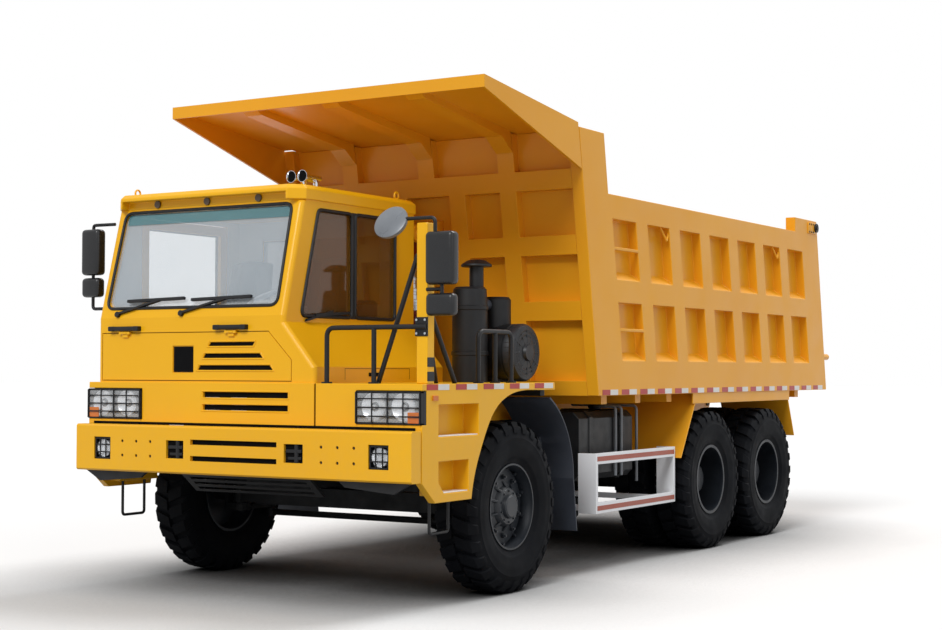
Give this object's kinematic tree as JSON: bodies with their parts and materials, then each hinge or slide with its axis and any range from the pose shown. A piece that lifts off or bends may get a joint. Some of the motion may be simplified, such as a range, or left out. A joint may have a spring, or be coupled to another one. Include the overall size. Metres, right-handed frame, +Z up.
{
  "type": "mining dump truck",
  "caption": "Six-wheel mining dump truck with an offset cab, tipping body with a canopy over the cab, front telescopic hoist and twin rear wheels",
  "frame": {"origin": "middle of the footprint on the ground", "axes": "+X the truck's left, +Y its rear, +Z up"},
  "size_m": [3.816, 9.02, 4.094],
  "materials": {
    "yellow_paint": "gloss",
    "black_paint": "satin",
    "white_paint": "gloss",
    "red_paint": "gloss",
    "rim_paint": "satin",
    "tyre": "matte",
    "rubber": "matte",
    "glass": "polished",
    "lamp": "gloss",
    "trim": "matte",
    "mirror_shell": "satin",
    "chrome": "polished",
    "steel": "polished",
    "engine_iron": "rough"
  },
  "bodies": {
    "chassis": {"frame_rails": "black_paint", "crossmembers": "black_paint", "hoist_cradle": "black_paint", "bumper": "yellow_paint", "under_guard": "black_paint", "lamps": "lamp", "fender_left": "yellow_paint", "fender_right": "yellow_paint", "mirror_post": "yellow_paint", "mirrors": "mirror_shell", "deck_rails": "black_paint", "cab_shell": "yellow_paint", "cab_roof": "yellow_paint", "cab_glass": "glass", "seats": "trim", "dashboard": "trim", "horns": "chrome", "wipers": "trim", "air_cleaner": "black_paint", "engine": "engine_iron", "fuel_tank": "black_paint", "side_guards": "white_paint", "mudflaps": "rubber", "front_axle": "black_paint", "rear_axles": "black_paint", "leaf_springs": "black_paint", "prop_shafts": "black_paint"},
    "cab_door": {"door": "yellow_paint", "door_glass": "glass"},
    "hatch": {"front_hatch": "yellow_paint"},
    "dump_body": {"bed_floor": "yellow_paint", "bed_side_left": "yellow_paint", "bed_side_right": "yellow_paint", "bed_front": "yellow_paint", "bed_canopy": "yellow_paint", "rear_fenders": "yellow_paint"},
    "gate": {"tailgate": "yellow_paint"},
    "barrel": {"hoist_barrel": "red_paint"},
    "stage_1": {"hoist_stage_1": "steel"},
    "stage_2": {"hoist_stage_2": "steel"},
    "stage_3": {"hoist_stage_3": "steel"},
    "stage_4": {"hoist_stage_4": "red_paint"},
    "steer_left_body": {"knuckle_left": "black_paint"},
    "steer_right_body": {"knuckle_right": "black_paint"},
    "tie": {"tie_rod": "black_paint"},
    "wheel_front_left": {"tyre_front_left": "tyre", "rim_front_left": "rim_paint"},
    "wheel_front_right": {"tyre_front_right": "tyre", "rim_front_right": "rim_paint"},
    "wheels_rear_left_1": {"tyres_rear_left_1": "tyre", "rims_rear_left_1": "rim_paint"},
    "wheels_rear_left_2": {"tyres_rear_left_2": "tyre", "rims_rear_left_2": "rim_paint"},
    "wheels_rear_right_1": {"tyres_rear_right_1": "tyre", "rims_rear_right_1": "rim_paint"},
    "wheels_rear_right_2": {"tyres_rear_right_2": "tyre", "rims_rear_right_2": "rim_paint"}
  },
  "joints": [
    {"name": "bed_tip", "type": "hinge", "parent": "chassis", "child": "dump_body", "pos_m": [0, 3.54, 1.4], "axis": [-1, 0, 0], "range_deg": [0, 46]},
    {"name": "hoist_tilt", "type": "hinge", "parent": "chassis", "child": "barrel", "pos_m": [0, -2.06, 0.9], "axis": [-1, 0, 0], "range_deg": [0, 27]},
    {"name": "hoist_slide_1", "type": "slide", "parent": "barrel", "child": "stage_1", "axis": [0, 0, 1], "range_m": [0, 1.06]},
    {"name": "hoist_slide_2", "type": "slide", "parent": "stage_1", "child": "stage_2", "axis": [0, 0, 1], "range_m": [0, 1.06]},
    {"name": "hoist_slide_3", "type": "slide", "parent": "stage_2", "child": "stage_3", "axis": [0, 0, 1], "range_m": [0, 1.06]},
    {"name": "hoist_slide_4", "type": "slide", "parent": "stage_3", "child": "stage_4", "axis": [0, 0, 1], "range_m": [0, 1.06]},
    {"name": "gate_swing", "type": "hinge", "parent": "dump_body", "child": "gate", "pos_m": [0, 3.996, 3.43], "axis": [1, 0, 0], "range_deg": [0, 70]},
    {"name": "steer_left", "type": "hinge", "parent": "chassis", "child": "steer_left_body", "pos_m": [1.19, -2.96, 0.685], "axis": [0, 0, 1], "range_deg": [-35, 35]},
    {"name": "steer_right", "type": "hinge", "parent": "chassis", "child": "steer_right_body", "pos_m": [-1.19, -2.96, 0.685], "axis": [0, 0, 1], "range_deg": [-35, 35]},
    {"name": "tie_rod_swing", "type": "hinge", "parent": "steer_left_body", "child": "tie", "pos_m": [1.19, -2.54, 0.487], "axis": [0, 0, 1], "range_deg": [-35, 35]},
    {"name": "front_left_spin", "type": "hinge", "parent": "steer_left_body", "child": "wheel_front_left", "pos_m": [1.445, -2.96, 0.685], "axis": [1, 0, 0], "continuous": true},
    {"name": "front_right_spin", "type": "hinge", "parent": "steer_right_body", "child": "wheel_front_right", "pos_m": [-1.445, -2.96, 0.685], "axis": [1, 0, 0], "continuous": true},
    {"name": "rear_left_1_spin", "type": "hinge", "parent": "chassis", "child": "wheels_rear_left_1", "pos_m": [1.23, 0.99, 0.685], "axis": [1, 0, 0], "continuous": true},
    {"name": "rear_left_2_spin", "type": "hinge", "parent": "chassis", "child": "wheels_rear_left_2", "pos_m": [1.23, 2.49, 0.685], "axis": [1, 0, 0], "continuous": true},
    {"name": "rear_right_1_spin", "type": "hinge", "parent": "chassis", "child": "wheels_rear_right_1", "pos_m": [-1.23, 0.99, 0.685], "axis": [1, 0, 0], "continuous": true},
    {"name": "rear_right_2_spin", "type": "hinge", "parent": "chassis", "child": "wheels_rear_right_2", "pos_m": [-1.23, 2.49, 0.685], "axis": [1, 0, 0], "continuous": true},
    {"name": "door_swing", "type": "hinge", "parent": "chassis", "child": "cab_door", "pos_m": [-1.606, -3.872, 2.41], "axis": [0, 0, 1], "range_deg": [0, 70]},
    {"name": "hatch_lift", "type": "hinge", "parent": "chassis", "child": "hatch", "pos_m": [-0.55, -4.356, 2.076], "axis": [-1, 0, 0], "range_deg": [0, 80]}
  ],
  "couplings": [
    {"joint": "hoist_tilt", "follows": "bed_tip", "ratio": 0.5847},
    {"joint": "hoist_slide_1", "follows": "bed_tip", "m_per_rad": 1.3153},
    {"joint": "hoist_slide_2", "follows": "bed_tip", "m_per_rad": 1.3153},
    {"joint": "hoist_slide_3", "follows": "bed_tip", "m_per_rad": 1.3153},
    {"joint": "hoist_slide_4", "follows": "bed_tip", "m_per_rad": 1.3153},
    {"joint": "steer_right", "follows": "steer_left", "ratio": 1},
    {"joint": "tie_rod_swing", "follows": "steer_left", "ratio": -1}
  ]
}
